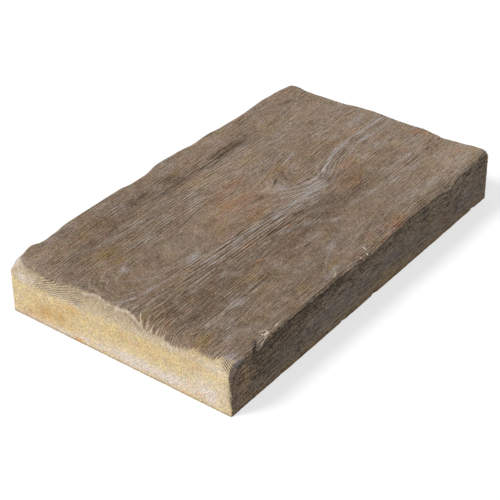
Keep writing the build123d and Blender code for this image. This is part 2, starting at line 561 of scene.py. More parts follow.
# lighter and darker stretches of the brown: strength below 0 is darker; the dark spots at x 60 to 90, y
# 100 to 106, are painted shade in the long hollow
SHADES = [
    (-160, -28, 60, 9, -0.14), (-215, 10, 24, 30, -0.04), (118, -62, 22, 22, -0.1),
    (108, -53, 26, 7, -0.14), (-20, -28, 60, 6, -0.06), (-70, -128, 22, 10, -0.1),
    (-70, 72, 22, 14, -0.06), (140, 122, 40, 10, -0.07), (212, -78, 20, 14, 0.1), (24, 22, 24, 16, 0.08),
    (-70, -80, 170, 60, -0.08), (-160, 75, 70, 40, -0.09), (118, 98, 20, 10, -0.12),
    (-35, -130, 34, 10, 0.12), (-205, -68, 16, 6, -0.3), (-215, -48, 12, 8, -0.2),
    (-185, -60, 40, 24, -0.16), (80, 100, 24, 4, -0.2), (-85, 114, 12, 7, -0.35),
    (-68, 118, 14, 6, -0.25), (-20, 115, 12, 6, -0.4), (-20, 108, 30, 4, -0.2), (60, 106, 30, 4, -0.4),
    (90, 103, 16, 5, -0.45), (205, 113, 7, 2.5, -0.4), (30, -62, 40, 14, -0.3), (90, -70, 30, 8, -0.2),
    (-30, -44, 40, 3, -0.2), (212, -92, 16, 7, -0.25), (170, -45, 14, 5, -0.16), (-60, -125, 8, 4, -0.3),
    (-75, -142, 10, 5, -0.15), (-95, 56, 14, 3, -0.2), (-130, 118, 30, 6, -0.15), (-230, 74, 8, 8, -0.15),
    (130, 130, 10, 4, -0.2), (145, 8, 30, 4, -0.15), (210, 30, 80, 120, 0.1), (212, -127, 46, 26, 0.27),
    (40, 75, 60, 14, 0.16), (-225, 130, 24, 14, 0.14), (-20, 20, 50, 20, 0.14), (60, -25, 60, 16, 0.12),
    (60, 130, 60, 14, 0.1), (-100, -60, 140, 25, -0.14), (-100, -120, 120, 30, -0.06),
    (-120, 110, 80, 25, -0.1)]
# on the ends, over y and z; the far end has them the other way round
END_OCHRE = [
    (102, 20, 18, 11, 0.75), (78, 24, 14, 14, 0.65), (62, 40, 8, 7, 0.7), (118, 8, 14, 5, 0.6),
    (-20, 36, 60, 8, 0.3), (-105, 45, 20, 5, 0.4), (-45, 47, 16, 3, 0.3)]
END_PALE = [
    (-15, 10, 30, 7, 1.0), (-70, 12, 36, 8, 0.9), (-122, 20, 18, 14, 0.9), (135, 52, 20, 6, 0.6),
    (-50, 52, 60, 4.5, 0.25), (100, 3, 50, 3, 0.9), (45, 8, 24, 4, 0.5), (60, 50, 40, 5, 0.3),
    (-130, 50, 16, 6, 0.4)]
END_RUST = [
    (55, 2, 5, 3, 1.3), (120, 3, 30, 2, 0.4), (-60, 1, 60, 1.5, 0.4), (65, 12, 5, 3, 0.4),
    (-110, 10, 5, 2, 0.5)]
# on the long walls, over x and z; in WALL_SHADES the dark band at z 57 to 58 just under the rim is painted
# shade under its overhang
WALL_SHADES = [
    (-225, 35, 30, 30, 0.05), (0, 57, 900, 9, -0.28), (0, 4, 900, 9, 0.3), (20, 8, 150, 7, 0.24),
    (-60, 18, 60, 8, 0.1), (-174, 42, 32, 24, -0.34), (-122, 57, 30, 9, -0.16), (130, 56, 60, 8, 0.1),
    (-80, 58, 60, 7, -0.1), (190, 56, 60, 8, 0.25), (60, 26, 90, 14, 0.06), (-150, 20, 60, 12, -0.06),
    (150, 40, 60, 12, -0.08)]
WALL_PALE = [
    (-70, 26, 70, 12, 0.5), (60, 30, 70, 10, 0.5), (-170, 24, 30, 9, 0.35), (200, 22, 30, 16, 0.5),
    (130, 16, 20, 8, 0.4)]
WALL_RUST = [
    (-232, 40, 16, 26, 0.6), (-150, 48, 30, 8, 0.4), (0, 1, 900, 3.5, 0.7), (160, 20, 14, 10, 0.5),
    (20, 50, 40, 6, 0.3)]
WALL_OCHRE = [
    (-200, 36, 30, 12, 0.4), (-100, 44, 30, 8, 0.35), (0, 3, 900, 4, 0.5), (120, 36, 30, 10, 0.5),
    (40, 12, 30, 6, 0.4)]


def spots(places, across, along):
    """Sum of bells: each spot is its two coordinates, its reach both ways and its strength."""
    total = np.zeros_like(across)
    for first, second, reach_first, reach_second, strength in places:
        away = np.hypot((across - first) / reach_first, (along - second) / reach_second)
        total += strength * bell(away, 1)
    return total


print("spots of pigment on the face:", len(PALE_SPOTS) + len(RUST_SPOTS) + len(OCHRE_SPOTS))

# %% [markdown]
# The border of the brown runs high over the rolled edge. It is given as a height on the plane of the
# end wall, and points further in are carried out to that plane along one slanting direction. So one
# list of heights draws it over wall, roll and face alike.

# %% Masks over the surface
SLANT_UP = 1.04
SLANT_ASIDE = 0.93
NEAR_BORDER = [
    (-150, 76), (-142, 74), (-135, 71), (-131, 66), (-128, 64), (-116, 63.5), (-107, 65.5), (-100, 64),
    (-92, 61.5), (-85, 59), (-78, 57.5), (-70, 58.5), (-60, 60.5), (-40, 61), (-33, 62), (-28, 67),
    (-22, 72), (-15, 73), (-8, 72), (3, 70), (8, 73), (13, 71.5), (17, 73), (22, 76), (30, 74), (42, 73),
    (60, 71), (72, 70), (88, 67), (95, 65.5), (110, 68), (122, 68), (129, 71), (138, 87), (150, 96)]
FAR_BORDER = [
    (-150, 60), (-115, 63), (-70, 60), (-30, 64), (10, 61), (50, 64), (95, 60), (130, 62), (150, 59)]
BARE_LIMIT = 20
# how ragged the near border is, over y
FRINGE = [(-150, 0.6), (-120, 1), (0, 1), (35, 0.25), (150, 0.25)]


def past_border(border, inward, aside):
    """Distance below the border of the brown, mm: over 0 on the bare body."""
    return eased(border, y - aside * inward) - z - SLANT_UP * inward


def dabs(on_face, on_end, on_wall, face_share=1):
    """One pigment from its three lists of spots, over the face, the ends and the long walls."""
    face = face_share * spots(on_face, x, y) * on_top
    return patchy * (face + spots(on_end, along_end, z) * end_wall + spots(on_wall, x, z) * long_wall)


seen_y = y - SLANT_ASIDE * inward
seen_z = z + SLANT_UP * inward
on_top = rise(0.15, 0.6, normals[:, 2])
long_wall = rise(0.5, 0.9, np.abs(normals[:, 1]))
end_wall = rise(0.5, 0.9, np.abs(normals[:, 0]))
near_end = end_wall * (x < 0)
right_side = y < 0
past_far = past_border(FAR_BORDER, HALF_LENGTH - x, 0)
bare = np.maximum(past_border(NEAR_BORDER, inward, SLANT_ASIDE), past_far)
to_end = HALF_LENGTH - np.abs(x)
to_side = HALF_WIDTH - np.abs(y)
# on a long wall the pale body colour shows about a millimetre in from the upright corner, and further off
# near the rim: a painted highlight on the corner, broken into hatch by noise
lit_corner_strip = 3 + 7 * rise(48, 60, z) - 3 * to_end + 3 * noise(z / 2.2, 0.5)
bare = np.where(np.abs(normals[:, 1]) > 0.5, lit_corner_strip, bare)
bare = np.clip(bare, -BARE_LIMIT, BARE_LIMIT)
fringe = np.where(x > 0, 0.6, eased(FRINGE, y)) * on_top
patchy = 1 + 0.6 * fractal(x / 14, y / 9, z / 9)
along_end = np.where(x < 0, y, -y)
pale = dabs(PALE_SPOTS, END_PALE, WALL_PALE, 0.85)
rust = dabs(RUST_SPOTS, END_RUST, WALL_RUST)
ochre = dabs(OCHRE_SPOTS, END_OCHRE, WALL_OCHRE)
painted = on_top * rise(-3, -12, bare)
rust = rust + 0.2 * painted * rise(0.1, 1.0, fractal(x / 40, y / 14, 11.0))
ochre = ochre + 0.35 * painted * rise(0.1, 1.0, fractal(x / 34, y / 14, 23.0))
pale = pale + 0.25 * painted * rise(0.2, 1.1, fractal(x / 22, y / 6, 31.0))
# the shade mask: lighter and darker brown, with painted shade under the walls' rim and in the long hollow
shade = spots(SHADES, x, y) * on_top + spots(WALL_SHADES, x, z) * long_wall
shade = shade + 0.06 * fractal(x / 22, y / 14, z / 14)
rolled_body = np.maximum(on_top, 0.6 * rise(44, 54, z) * end_wall)
rolled_body = rolled_body * (0.4 + 0.6 * rise(-130, -85, seen_y))
print("share of points on the bare body:", round(float((bare > 0).mean()), 2))

# %% [markdown]
# Where a growth line leaves over the rolled end it shows as a contour line, like a height line on a
# map. Such lines are drawn from two more attributes: hatch counts them, and hatched says how strong
# they are. Between the places that have them the strength is 0, so the count may jump there.

# %% Contour lines over the roll and the near corner
CONTOUR_SLOPE = 0.43
CONTOUR_STEP = 2.9
COMB_STEP = 3.5
NICK_STEP = 2.6
# the corner comb and the nicks lie right of this y; the comb above this z and the nicks below it
CORNER_SIDE = -60
NICKS_TOP = 52
TOOTH_REACH = 34
teeth = right_side * near_end * bell(to_side, 3.5) * rise(4, 20, z) * rise(66, 52, z)
bare = bare - TOOTH_REACH * teeth * (0.7 + 0.6 * noise(z / 1.6, 3.0))
broken = 0.9 + 0.5 * fractal(seen_y / 9, seen_z / 4)
rolled = broken * rise(46, 52, seen_z + 0.12 * np.abs(seen_y - 72)) * rise(73, 66, seen_z)
rolled = rolled * rise(32, 60, seen_y) * rise(132, 94, seen_y) * rise(26, 16, inward)
combed = 2.6 * bell(np.hypot((seen_y + 147) / 6, (seen_z - 66) / 9), 1) * rise(24, 16, inward)
nicked = 1.2 * bell(to_side, 5) * rise(8, 3, inward) * rise(8, 16, z) * rise(56, 48, z) * right_side
wavy = 0.8 * fractal(seen_y / 20, seen_z / 12)
contours = (seen_z + CONTOUR_SLOPE * seen_y) / CONTOUR_STEP + wavy
combs = (0.76 * seen_y - 0.65 * seen_z) / COMB_STEP
on_roll = seen_y > CORNER_SIDE
hatch = np.where(on_roll, contours, np.where(z > NICKS_TOP, combs, z / NICK_STEP))
hatched = np.where(on_roll, rolled, np.where(z > NICKS_TOP, combed, nicked))
print("points with contour lines:", int((hatched > 0.3).sum()))

# %% [markdown]
# ## Relief of the timber
#
# The mould kept the plank's relief: soft wood between the growth lines was worn into grooves, a few
# lines stand proud and hold grey pigment, and cracks run along them. Bump mapping would colour these
# but leave every edge and outline smooth, so all of it down to about one millimetre is real shape.
# Where lines run so steeply across the grid that it can't hold them, their depth fades out.

# %% Lines that stand out: points, half width, strength (pale ridge above 0, crack below, darkened with painted shade)
TRACES = [
    ([(-246, 5), (-225, 2), (-210, -3), (-197, -5), (-175, -8), (-163, -10), (-152, -17)], 1.5, 0.9),
    ([(-216, -17), (-200, -16), (-180, -17)], 1.2, 0.4),
    ([(-173, -21), (-150, -23), (-136, -26)], 1.1, 0.7),
    ([(-165, -29), (-145, -30), (-135, -32), (-127, -38)], 1.2, 0.7),
    ([(-192, -34), (-160, -34), (-145, -36), (-135, -42)], 1.1, 0.5),
    ([(-133, -18), (-120, -20), (-95, -23), (-60, -22), (-45, -24), (-25, -28), (-5, -31)], 1.6, 1.2),
    ([(-20, -30), (20, -30), (35, -29), (50, -31), (65, -35), (82, -39)], 1.6, 1.1),
    ([(-122, -12), (-100, -15), (-80, -16), (-65, -14)], 1.3, 0.8),
    ([(-124, -28), (-100, -29), (-70, -31), (-48, -33), (-30, -36), (0, -37), (40, -38), (60, -41)],
     1.2, 0.8),
    ([(-55, -19), (-25, -21), (0, -26), (20, -26)], 1.0, 0.5),
    ([(-140, -50), (-120, -48), (-90, -49), (-60, -50)], 1.1, 0.5),
    ([(-152, -57), (-140, -55), (-115, -58)], 1.0, 0.5),
    ([(18, -11), (27, -14), (37, -20), (47, -26), (56, -32)], 1.1, 0.9),
    ([(28, -4), (36, -9), (48, -19), (60, -24), (80, -25), (95, -25), (115, -21)], 1.1, 0.9),
    ([(30, 5), (38, -2), (48, -10), (60, -17), (75, -19), (100, -17), (112, -14)], 1.5, 0.9),
    ([(100, -17), (112, -14), (128, -7), (142, -3), (165, -2), (200, -4), (246, -6)], 1.7, 1.05),
    ([(20, -33), (45, -36), (58, -40)], 1.0, 0.6),
    ([(80, -42), (90, -38), (105, -32), (122, -31)], 1.0, 0.8),
    ([(70, -31), (90, -29), (105, -26)], 1.0, 0.7),
    ([(148, -20), (165, -16), (182, -14), (200, -17), (246, -16)], 1.6, 0.9),
    ([(-212, 32), (-205, 25), (-198, 19), (-188, 13)], 2.0, 0.6),
    ([(76, 25), (90, 30), (105, 32), (114, 35)], 1.5, 0.8),
    ([(-38, -50), (-25, -54), (-7, -61), (0, -64), (8, -67)], 2.2, 0.6),
    ([(5, -66), (12, -73), (19, -81), (27, -87), (34, -88)], 2.0, 0.7),
    ([(-66, -133), (-45, -123), (-35, -117), (-15, -113)], 1.2, 0.7),
    ([(128, 101), (140, 105), (152, 110)], 1.2, 0.4),
    ([(82, 93.8), (116, 94)], 0.8, 0.5),
    ([(176, -37), (190, -33)], 1.2, 1.6),
    ([(180, -82), (191, -77)], 1.2, 2.4),
    ([(-220, 98.7), (-152, 98.7), (-130, 99), (-108, 101)], 0.9, -1.0),
    ([(-220, 95.4), (-170, 95.4)], 0.8, -0.8),
    ([(-150, 96.3), (-128, 96.3)], 0.8, -0.6),
    ([(-208, 109), (-186, 109.5)], 1.2, -0.4),
    ([(-60, 99.5), (-20, 99), (30, 98), (60, 98), (100, 96)], 0.9, -0.9),
    ([(-70, 102.5), (0, 102), (40, 101.5), (85, 101), (106, 98)], 1.1, -1.5),
    ([(-62, 95), (-22, 95.5)], 0.8, -0.6),
    ([(28, 94.7), (80, 94.5)], 0.8, -0.8),
    ([(68, 91.5), (118, 91.5)], 0.9, -1.1),
    ([(78, 87.5), (112, 87.5)], 0.8, -0.5),
    ([(-184, 41), (-142, 39.5)], 0.8, -0.8),
    ([(-90, 75), (-79, 77)], 0.9, -1.5),
    ([(-96, 43), (-75, 44), (-62, 47), (-36, 48)], 0.9, -0.8),
    ([(-24, 47.5), (0, 50), (9, 50.5)], 0.8, -0.6),
    ([(31, 7.5), (40, 10.5), (53, 16)], 1.2, -1.8),
    ([(50, 16), (62, 18.5), (84, 22)], 0.8, -0.5),
    ([(-6, 36), (0, 38.5), (11, 40)], 0.7, -0.8),
    ([(-11, 15), (0, 20), (11, 23)], 0.8, -0.6),
    ([(41, 32), (56, 37), (76, 38)], 0.8, -0.8),
    ([(116, 30.5), (135, 30), (158, 28), (182, 27.5)], 0.8, -0.6),
    ([(182, 69), (213, 69)], 0.8, -0.6),
    ([(161, 58.5), (202, 58.5)], 0.8, -0.6),
    ([(160, 54), (206, 53.5)], 0.8, -0.5),
    ([(189, 46.5), (211, 46.5)], 0.8, -0.5),
    ([(218, 47), (228, 47)], 0.9, -1.0),
    ([(202, 36.5), (216, 36.5)], 0.8, -0.6),
    ([(100, -25), (112, -20), (125, -17), (150, -12), (165, -9), (185, -10), (226, -11)], 1.8, -0.6),
    ([(79, -37), (90, -34), (103, -31)], 0.8, -1.1),
    ([(79, -40.5), (95, -37), (112, -35)], 0.8, -0.9),
    ([(27, -9), (38, -16), (47, -21)], 0.9, -0.9),
    ([(33, -5), (46, -13), (56, -20), (67, -23)], 0.9, -0.9),
    ([(73, -22), (95, -21), (113, -18)], 0.8, -0.7),
    ([(-111, -24.5), (-84, -25.5)], 0.9, -0.8),
    ([(-31, -32.5), (0, -33.5), (13, -33.5)], 1.0, -0.8),
    ([(-62, -42), (-40, -43.5), (-24, -44)], 1.0, -0.9),
    ([(-21, -46), (0, -47), (22, -47)], 1.0, -0.7),
    ([(-42, -39), (-10, -40.5), (12, -41)], 0.9, -0.6),
    ([(-59, -90), (-37, -92)], 0.9, -0.9),
    ([(192, 115), (200, 114), (213, 110)], 2.5, -0.7),
]
RIDGE_HEIGHT = 0.4
CRACK_DEPTH = 0.8


def trace_relief(x, y):
    """Height, pale pigment and the painted shade in the cracks of all traced lines, fading at their ends.
    """
    height, light, dark = np.zeros((3, len(x)))
    worn = 0.8 + 0.4 * fractal(x / 12, y / 4)
    for line, half_width, strength in TRACES:
        start, end = line[0][0], line[-1][0]
        centre = traced(line, x)
        lean = np.hypot(1, (traced(line, x + 1) - traced(line, x - 1)) / 2)
        weight = worn * bell((y - centre) / lean, half_width)
        weight = weight * rise(start - 2, start + 6, x) * rise(end + 2, end - 6, x)
        height += strength * (RIDGE_HEIGHT if strength > 0 else CRACK_DEPTH) * weight
        light += max(strength, 0) * weight
        dark += max(-strength, 0) * weight
    return height, light, dark


print("traced lines:", len(TRACES))

# %% Heights along the normals, mm
LINE_DEPTH = 0.55
FIBRE_DEPTH = 0.22
BOARD_DEPTH = 0.25
# where growth lines stand out more, or less: x, y, reach along x, reach along y, strength
LINE_SPOTS = [
    (-20, -45, 110, 26, 0.6), (30, 98, 110, 10, 0.7), (180, -60, 70, 11, 0.5), (-190, -70, 60, 30, 0.15),
    (-60, 22, 90, 22, -0.5), (-190, 24, 60, 30, -0.6), (110, 14, 70, 13, -0.4), (215, 15, 40, 14, -0.4),
    (-190, 97, 50, 8, 0.3), (-50, -92, 60, 14, -0.3), (60, -95, 50, 20, -0.2), (-110, 72, 90, 30, -0.22),
    (-20, 130, 240, 14, -0.25), (-35, -130, 34, 10, -0.35), (120, 70, 110, 40, -0.28),
    (0, 70, 50, 12, 0.1), (62, -88, 40, 18, -0.7), (0, -88, 50, 14, -0.3)]
# breaks of the right rim: from x, y to x, y, half width, height, and bare above 0 or dark below, the dark
# being painted shadow in the clefts
BREAKS = [
    (-209, -151, -198, -142, 2.0, -2.0, -1.5), (-200, -151, -180, -143.5, 1.2, 0.8, 1.1),
    (-188, -142.5, -185, -137, 1.0, 0.5, 1.0), (-185, -144, -182, -138.5, 1.0, 0.5, 1.0),
    (-182, -145, -179, -140, 1.0, 0.5, 1.0), (-193, -149, -184, -145, 1.0, -0.6, -0.9),
    (-168, -144, -162, -142, 1.3, -0.5, 0.9), (-64, -145, -57, -143, 1.2, 0.4, 0.9),
    (-4, -148, -1, -140, 1.4, 0.7, 1.1), (-17, -143, -12, -150, 1.6, 0.6, 1.0)]
# loose fibres and curls at the near border, over seen_y and seen_z: light above 0, dark below
CURLS = [
    (45, 68, 28, 75, 1.1, 0.9), (28, 75, 20, 75, 1.1, 1), (20, 75, 10, 70, 1.1, 0.8),
    (-5, 71, -18, 74, 1.3, 1), (-18, 74, -25, 71, 1.3, 1), (-25, 71, -32, 64, 1.2, 1),
    (-14, 69.5, -30, 61.5, 0.9, -1.2), (42, 65.5, 27, 72, 0.8, -0.8), (12, 67, 2, 67, 0.8, -0.6),
    (-4, 60, 22, 62, 0.8, -0.5), (-20, 56, -34, 60, 0.9, -0.6), (62, 57, 82, 54, 1.0, -0.7),
    (70, 62, 92, 57, 0.9, -0.7), (-34, 62, -36, 84, 1.1, 1), (-42, 64, -50, 88, 1, 0.7),
    (-47, 62, -53, 76, 0.8, 0.5), (-55, 62, -61, 77, 0.8, 0.6), (-63, 60, -70, 73, 0.7, 0.5)]
# voids at the foot of the right wall, dented and darkened with painted shade: x, z, reach along x, reach
# along z
VOIDS = [(9, 1.5, 3.5, 2.5), (221, 1, 2.5, 2), (-52, 1, 3, 1.5)]
# a long hollow in the face, given like a spot
HOLLOW = [(40, 104, 70, 7, 1.0)]
RIM_HEIGHT = 61
BREAK_REACH = 28


def from_segment(x, y, start, end):
    """Distance of points from the straight piece between two places."""
    run = np.subtract(end, start)
    share = np.clip(((x - start[0]) * run[0] + (y - start[1]) * run[1]) / (run @ run), 0, 1)
    return np.hypot(x - start[0] - share * run[0], y - start[1] - share * run[1])


def edge_breaks():
    """Height, bare body and dark of the breaks, the dark being painted shade in clefts and voids; the wall
    counts as the face folded out.
    """
    height, bared, dark = np.zeros((3, len(x)))
    unfolded = y + (z - RIM_HEIGHT) * long_wall
    for start_x, start_y, end_x, end_y, half_width, rise_by, finish in BREAKS:
        off = from_segment(x, unfolded, (start_x, start_y), (end_x, end_y))
        weight = right_side * bell(off, half_width)
        height += rise_by * weight
        bared += max(finish, 0) * weight
        dark += max(-finish, 0) * weight
    for start_y, start_z, end_y, end_z, half_width, finish in CURLS:
        off = from_segment(seen_y, seen_z, (start_y, start_z), (end_y, end_z))
        weight = on_top * rise(40, 30, inward) * bell(off, half_width)
        height += 0.5 * finish * weight
        bared += 0.8 * max(finish, 0) * weight
        dark += max(-finish, 0) * weight
    for middle, above, reach, tall in VOIDS:
        void = right_side * long_wall * bell(np.hypot((x - middle) / reach, (z - above) / tall), 1)
        height -= 2.0 * void
        dark += 1.5 * void
    return height, bared, dark


cycles_per_step = np.abs(growth_label(x + 1, y) - growth_label(x, y)) * ALONG_STEPS[1] / RING_WIDTH
lines = 0.5 + spots(LINE_SPOTS, x, y) + 0.3 * fractal(x / 40, y / 12) - 0.15 * bell(inward, 12)
lines = np.clip(lines, 0.06, 1.3) * np.where(below > 0.5, 0.35 * long_wall, 1)
crest = 0.5 + 0.5 * np.cos(2 * np.pi * ring)
trace_height, trace_pale, trace_dark = trace_relief(x, y)
break_height, break_bare, break_dark = edge_breaks()
bare = bare + BREAK_REACH * break_bare
pale = pale + 0.45 * break_bare
pale = pale + trace_pale * on_top
# dark: painted shade in cracks, clefts and voids, and the dark curls at the near border
dark = trace_dark * on_top + break_dark

timber = -LINE_DEPTH * lines * (1 - crest) * bell(cycles_per_step, 0.4)
timber += FIBRE_DEPTH * noise(x / 25, ring * 1.7) + BOARD_DEPTH * fractal(x / 60, y / 12)
timber += trace_height - spots(HOLLOW, x, y)
sandy = 0.15 * fractal(x / 5, y / 3, z / 3) - 0.6 * rise(0.45, 0.85, noise(x / 3, y / 3, z / 3 + 9)) - 0.15
streaked = 0.2 * fractal(x / 14, 5.0, z / 3) + 0.15 * fractal(x / 4, 2.0, z / 3) - 0.25
height = on_top * timber + (1 - on_top) * (end_wall * sandy + long_wall * streaked) + break_height
print("relief, mm:", round(float(height.min()), 2), "to", round(float(height.max()), 2))

# %% [markdown]
# ## The stone as a Blender mesh
#
# The relief moves each point along its normal, and the upright corners are rounded by drawing the
# square corner of the plan in to a quarter circle. The bed stays flat on the floor, and nothing leaves
# the box of the fixed model. foreach_set hands whole arrays to the mesh, and each mask becomes a
# named attribute of its points.

# %% Mesh and attributes
CORNER_ROUNDS = {(-1, 1): 1.5, (-1, -1): 4, (1, -1): 2, (1, 1): 12}
CORNER_FOOT = 1.5


def relieved():
    """Points moved along their normals by the relief, kept in the box and flat on the bed, mm."""
    moved = points + height[:, None] * normals
    moved[:, 2] = np.where(z > 0, np.clip(moved[:, 2], 0.2, TOP_LIMIT), 0)
    limit = np.array([HALF_LENGTH, HALF_WIDTH])
    moved[:, :2] = np.clip(moved[:, :2], -limit, limit)
    for (end, side), top_round in CORNER_ROUNDS.items():
        radius = (CORNER_FOOT + (top_round - CORNER_FOOT) * rise(25, 62, z))[:, None]
        from_centre = moved[:, :2] * (end, side) - (limit - radius)
        in_corner = (from_centre > 0).all(1)
        largest = from_centre.max(1, keepdims=True)
        arc = from_centre * largest / np.linalg.norm(from_centre, axis=1, keepdims=True)
        moved[in_corner, :2] = ((arc + limit - radius) * (end, side))[in_corner]
    return moved


def stone_mesh(moved):
    """A mesh from the quads and the one bed face, with smooth shading all over but for the bed."""
    mesh = bpy.data.meshes.new("paver_stone")
    sides = np.append(np.full(len(quads), 4), len(bed))
    mesh.vertices.add(len(moved))
    mesh.vertices.foreach_set("co", (moved * MM).ravel())
    mesh.loops.add(int(sides.sum()))
    mesh.loops.foreach_set("vertex_index", np.concatenate([quads.ravel(), bed]))
    mesh.polygons.add(len(sides))
    mesh.polygons.foreach_set("loop_start", np.concatenate([[0], np.cumsum(sides)[:-1]]))
    mesh.polygons.foreach_set("loop_total", sides)
    mesh.polygons.foreach_set("use_smooth", sides == 4)
    mesh.polygons.foreach_set("material_index", (sides > 4).astype(int))
    mesh.update(calc_edges=True)
    mesh.validate()
    return mesh


def add_attribute(mesh, name, values):
    """One number for each point, readable in a material by its name."""
    mesh.attributes.new(name, "FLOAT", "POINT").data.foreach_set("value", values.astype(np.float32))


mesh = stone_mesh(relieved())
# bare also holds the painted highlight strip up the upright corners of the long walls
carried = {"ring": ring, "lines": lines, "bare": bare, "pale": pale, "rust": rust, "ochre": ochre,
           "dark": dark, "shade": shade, "top": rolled_body, "long_wall": long_wall, "fringe": fringe,
           "hatch": hatch, "hatched": hatched}
for name, values in carried.items():
    add_attribute(mesh, name, values)
stone = bpy.data.objects.new("paver_stone", mesh)
bpy.context.scene.collection.objects.link(stone)
print("stone:", len(mesh.polygons), "faces,", len(mesh.vertices), "points,", list(carried))

# %% [markdown]
# ## Effects as node groups
#
# Two effects are used by more than one finish. Growth lines are drawn from the ring attribute, which
# is smooth, so the lines stay crisp at any zoom. Sand is fine grains and specks, a few pits, and
# clouds of tone and hue. Each is a group with named inputs and outputs, and gives only values.

# %% Growth lines and sand
THREAD_HALF = 0.045
# stretched noises: name, layer, scale along the lines, scale across them and detail
STRETCHED = [("Streak", 0.0, 1 / 60, 0.6, 3.0), ("Fibre", 3.0, 1 / 24, 2.3, 2.0),
             ("Comb", 7.0, 1 / 25, 1.2, 1.0), ("Thread", 11.0, 1 / 40, 1.3, 1.0),
             ("Scratch", 17.0, 1 / 45, 1.1, 1.0)]


def growth_lines_group():
    """Crest = (half a cosine wave of the ring number) ^ 0.6. The rest are noises stretched along the
    lines; Thread and Scratch are thin lines where such a noise passes through its middle value."""
    inputs = [("Ring", "NodeSocketFloat", 0.0), ("Along", "NodeSocketFloat", 0.0)]
    outputs = [(name, "NodeSocketFloat") for name in ("Crest", *(row[0] for row in STRETCHED))]
    tree, graph, given, wanted = new_group("growth_lines", inputs, outputs)
    wave = graph.math("COSINE", graph.times(given["Ring"], 2 * math.pi))
    graph.feed(wanted["Crest"], graph.math("POWER", graph.times_add(wave, 0.5, 0.5), 0.6))
    for name, layer, along, across, detail in STRETCHED:
        place = graph.scaled(graph.joined(given["Along"], given["Ring"], layer), (along, across, 1))
        value = graph.noise(place, 1.0, detail, 0.6)
        if name in ("Thread", "Scratch"):
            off = graph.math("ABSOLUTE", graph.math("SUBTRACT", value, 0.5))
            value = graph.rise(off, THREAD_HALF, 0.0)
        graph.feed(wanted[name], value)
    return tree


def sand_group():
    """Grain mixes random cells with noise, Specks are a few of the cells, Pits are spots of noise,
    and Cloud and Tint are wider noises of tone and hue."""
    inputs = [("Place", "NodeSocketVector", (0, 0, 0)), ("Grain Size", "NodeSocketFloat", 1.0)]
    outputs = [(name, "NodeSocketFloat") for name in ("Grain", "Specks", "Pits", "Cloud")]
    outputs.append(("Tint", "NodeSocketColor"))
    tree, graph, given, wanted = new_group("sand", inputs, outputs)
    scale = graph.math("DIVIDE", 1.0, given["Grain Size"])
    cells = graph.add("ShaderNodeTexVoronoi", {"Vector": given["Place"], "Scale": scale}, "Color")
    red = graph.add("ShaderNodeSeparateColor", {"Color": cells}, 0)
    green = graph.add("ShaderNodeSeparateColor", {"Color": cells}, 1)
    soft = graph.noise(given["Place"], graph.times(scale, 0.6), 3.0, 0.7)
    graph.feed(wanted["Grain"], graph.times_add(red, 0.5, graph.times(soft, 0.5)))
    graph.feed(wanted["Specks"], graph.rise(green, 0.8, 0.92))
    holes = graph.noise(given["Place"], graph.times(scale, 0.35), 2.0, 0.5)
    graph.feed(wanted["Pits"], graph.rise(holes, 0.64, 0.74))
    tint = {"Vector": given["Place"], "Scale": graph.times(scale, 0.2), "Detail": 4.0}
    graph.feed(wanted["Tint"], graph.add("ShaderNodeTexNoise", tint, "Color"))
    graph.feed(wanted["Cloud"], graph.noise(given["Place"], graph.times(scale, 0.1), 4.0, 0.65))
    return tree


growth_lines = growth_lines_group()
sand = sand_group()
print("groups:", growth_lines.name, sand.name)

# %% [markdown]
# ## Finish of the cast stone
#
# The brown face is built in layers, as it is painted: a brown that varies in streaks along the growth
# lines, darker grooves, rust and ochre dabs, then grey pigment on the high lines. The bare body is
# sand of several shades. The bare mask chooses between the two, so no seam shows.

# %% Material of face and body
FACE_DEEP = colour(86, 69, 54)
FACE_BROWN = colour(131, 112, 94)
FACE_LIGHT = colour(168, 150, 132)
GREY_PIGMENT = colour(174, 168, 166)
# colour of the painted shade in cracks, clefts and voids
CRACK = colour(52, 42, 34)
RUST_TINT = (1.19, 0.92, 0.77, 1)
OCHRE_TINT = (1.06, 1.00, 0.68, 1)
# the long walls' browns are darker than the face's: partly their own colour and partly painted shade
WALL_DARK = colour(52, 44, 38)
WALL_LIGHT = colour(154, 136, 116)
WALL_GREY = colour(112, 112, 116)
CONTOUR_DARK = colour(86, 73, 62)
WALL_SPECK = colour(168, 142, 104)
BODY_SAND = colour(224, 200, 150)
BODY_GREY = colour(200, 184, 156)
BODY_ROLL = colour(172, 155, 130)
BODY_OCHRE = colour(203, 164, 108)
BODY_WHITE = colour(224, 212, 204)
BODY_ORANGE = colour(220, 164, 92)
BODY_DEEP = colour(172, 134, 84)
BODY_DABS = [("ochre", 0.9, BODY_OCHRE), ("pale", 0.8, BODY_WHITE), ("rust", 0.8, BODY_ORANGE)]
SPECULAR = 0.25


def millimetres(graph):
    """Object coordinates in millimetres."""
    coordinates = graph.add("ShaderNodeTexCoord", {}, "Object")
    return graph.scaled(coordinates, (1 / MM, 1 / MM, 1 / MM))


def centred_sum(graph, start, parts):
    """start + the sum of weight * (value - 0.5) over the parts."""
    for value, weight in parts:
        start = graph.times_add(graph.math("SUBTRACT", value, 0.5), weight, start)
    return start


def stained(graph, base, masks):
    """Rust and ochre pigment over a colour, each multiplied in by its mask."""
    for name, tint in (("rust", RUST_TINT), ("ochre", OCHRE_TINT)):
        base = graph.mix(graph.capped(masks[name], 1.0), base, tint, "MULTIPLY")
    return base


def cracked(graph, base, masks):
    """Painted shade in cracks, clefts and voids, in one dark colour over all other layers."""
    return graph.mix(graph.times(graph.capped(masks["dark"], 1.5), 0.6), base, CRACK)


